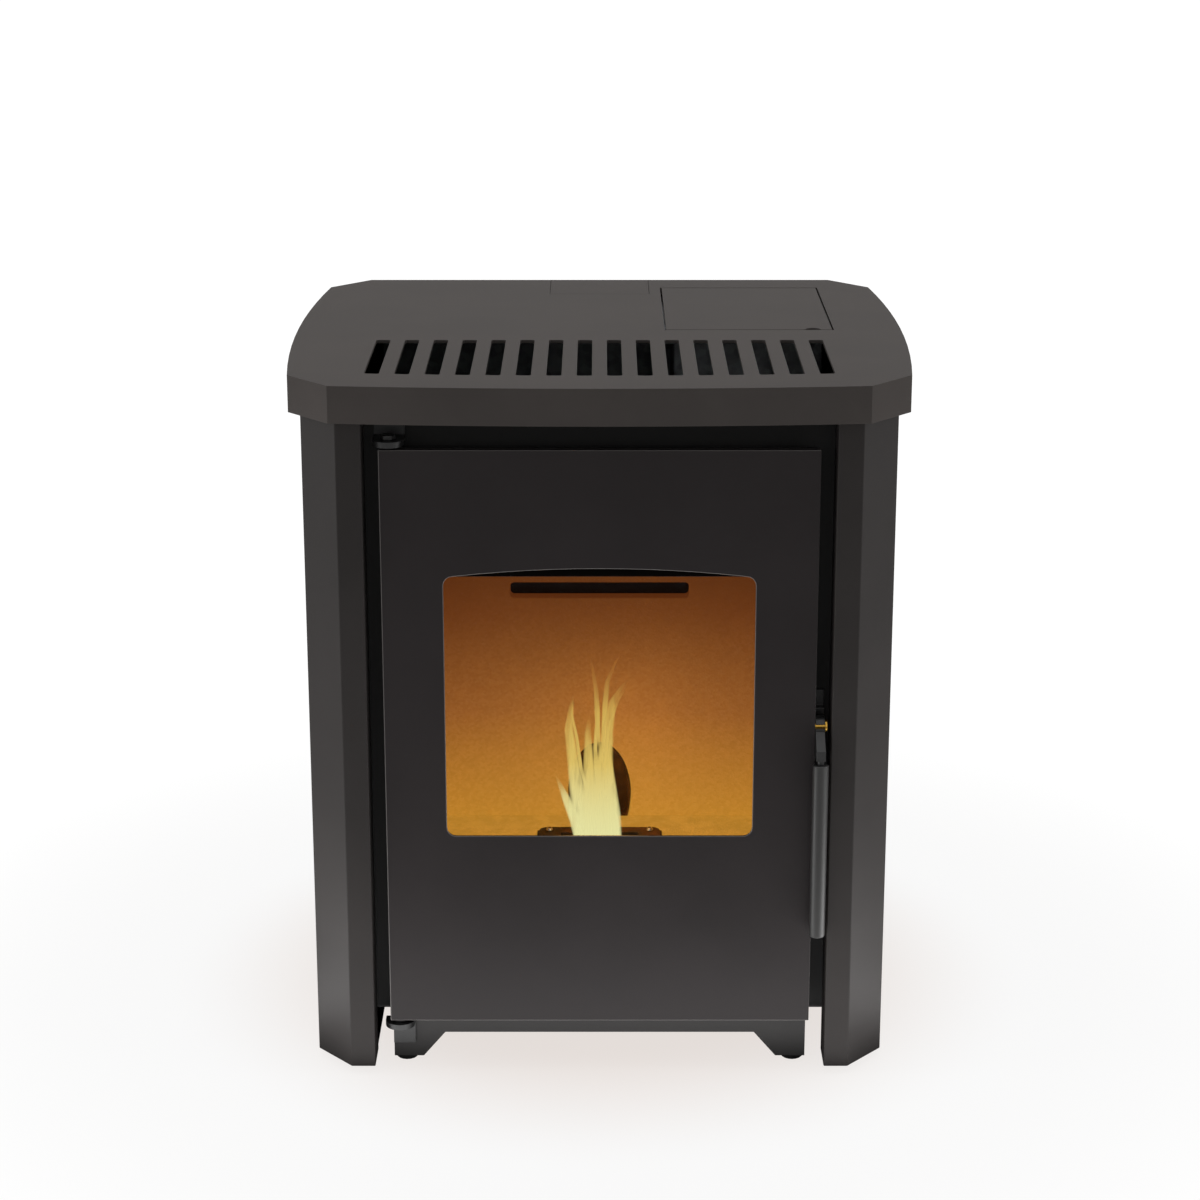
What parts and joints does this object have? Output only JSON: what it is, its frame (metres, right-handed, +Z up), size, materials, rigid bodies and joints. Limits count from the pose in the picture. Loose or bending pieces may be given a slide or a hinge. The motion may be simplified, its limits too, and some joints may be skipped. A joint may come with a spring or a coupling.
{
  "type": "pellet stove",
  "caption": "Compact floor-standing pellet stove with a bowed slotted top, flush hopper lid, chamfered side panels, glazed hinged door with latch, lined firebox and rear flue.",
  "frame": {"origin": "on the floor under the middle of the stove's overall box", "axes": "+X to the right seen from the front, +Y to the back, +Z up"},
  "size_m": [0.548, 0.506, 0.63],
  "materials": {
    "anthracite_paint": "satin anthracite powder coat",
    "door_paint": "satin black heat-resistant paint",
    "inner_paint": "matt black heat-resistant paint",
    "black_steel": "blackened steel",
    "vermiculite": "pressed vermiculite board",
    "cast_iron": "heat-browned cast iron",
    "galvanised": "galvanised sheet",
    "stainless": "stainless steel",
    "yellow_zinc": "yellow-passivated zinc",
    "rope_seal": "woven glass-fibre rope",
    "rubber": "matt black rubber",
    "grip_black": "satin black grip",
    "black_plastic": "black moulded plastic",
    "red_plastic": "red moulded plastic",
    "board": "green circuit board",
    "glass": "clear ceramic glass"
  },
  "bodies": {
    "casing": {"top_plate": "anthracite_paint", "left_side_panel": "anthracite_paint", "right_side_panel": "anthracite_paint", "front_plate": "inner_paint", "back_panel": "galvanised", "base_frame": "inner_paint", "levelling_foot_1": "rubber", "levelling_foot_2": "rubber", "levelling_foot_3": "rubber", "levelling_foot_4": "rubber", "firebox_shell": "inner_paint", "hearth_plate": "cast_iron", "back_lining": "vermiculite", "left_lining": "vermiculite", "right_lining": "vermiculite", "baffle": "vermiculite", "burn_pot_seat": "cast_iron", "igniter": "stainless", "ash_pan": "galvanised", "combustion_air_pipe": "galvanised", "air_tube_1": "galvanised", "air_tube_2": "galvanised", "air_tube_3": "galvanised", "air_tube_4": "galvanised", "hopper": "galvanised", "hopper_guard": "galvanised", "auger_tube": "galvanised", "auger_motor": "black_steel", "chute_tube": "cast_iron", "smoke_duct": "galvanised", "exhaust_housing": "cast_iron", "exhaust_motor": "galvanised", "flue_spigot": "black_steel", "room_fan_housing": "galvanised", "room_fan_motor": "black_steel", "control_board": "board", "mains_inlet": "black_plastic", "thermostat": "black_plastic", "top_hinge_bracket": "black_steel", "top_hinge_pin": "black_steel", "bottom_hinge_bracket": "black_steel", "bottom_hinge_pin": "black_steel", "latch_keeper": "black_steel"},
    "door": {"door_panel": "door_paint", "door_frame": "inner_paint", "door_glass": "glass", "glass_gasket": "rope_seal", "door_gasket": "rope_seal"},
    "latch": {"latch_lever": "black_steel", "latch_pin": "yellow_zinc", "grip": "grip_black"},
    "lid": {"hopper_lid": "anthracite_paint", "lid_gasket": "rubber"},
    "cover": {"flue_cover": "anthracite_paint"},
    "pot": {"burn_pot": "cast_iron"},
    "auger": {"auger_screw": "stainless"},
    "exhaust_wheel": {"exhaust_impeller": "stainless"},
    "room_fan_wheel": {"room_fan_rotor": "galvanised"},
    "rocker": {"power_rocker": "red_plastic"},
    "reset": {"reset_button": "red_plastic"}
  },
  "joints": [
    {"name": "door_swing", "type": "hinge", "parent": "casing", "child": "door", "pos_m": [-0.178, -0.218, 0.31], "axis": [0, 0, -1], "range_deg": [0, 110]},
    {"name": "latch_turn", "type": "hinge", "parent": "door", "child": "latch", "pos_m": [0.1906, -0.219, 0.325], "axis": [-1, 0, 0], "range_deg": [0, 50]},
    {"name": "lid_swing", "type": "hinge", "parent": "casing", "child": "lid", "pos_m": [0.136, 0.198, 0.625], "axis": [-1, 0, 0], "range_deg": [0, 95]},
    {"name": "cover_lift", "type": "slide", "parent": "casing", "child": "cover", "axis": [0, 0, 1], "range_m": [0, 0.03]},
    {"name": "pot_lift", "type": "slide", "parent": "casing", "child": "pot", "axis": [0, 0, 1], "range_m": [0, 0.08]},
    {"name": "auger_spin", "type": "hinge", "parent": "casing", "child": "auger", "pos_m": [0, 0.09, 0.415], "axis": [0.5, 0, -0.866], "continuous": true},
    {"name": "exhaust_spin", "type": "hinge", "parent": "casing", "child": "exhaust_wheel", "pos_m": [0, 0.085, 0.118], "axis": [1, 0, 0], "continuous": true},
    {"name": "room_fan_spin", "type": "hinge", "parent": "casing", "child": "room_fan_wheel", "pos_m": [-0.081, 0.05, 0.527], "axis": [1, 0, 0], "continuous": true},
    {"name": "rocker_tilt", "type": "hinge", "parent": "casing", "child": "rocker", "pos_m": [-0.15, 0.2213, 0.127], "axis": [-1, 0, 0], "range_deg": [0, 14]},
    {"name": "reset_press", "type": "slide", "parent": "casing", "child": "reset", "axis": [0, -1, 0], "range_m": [0, 0.002], "stiffness_N_per_m": 300}
  ]
}
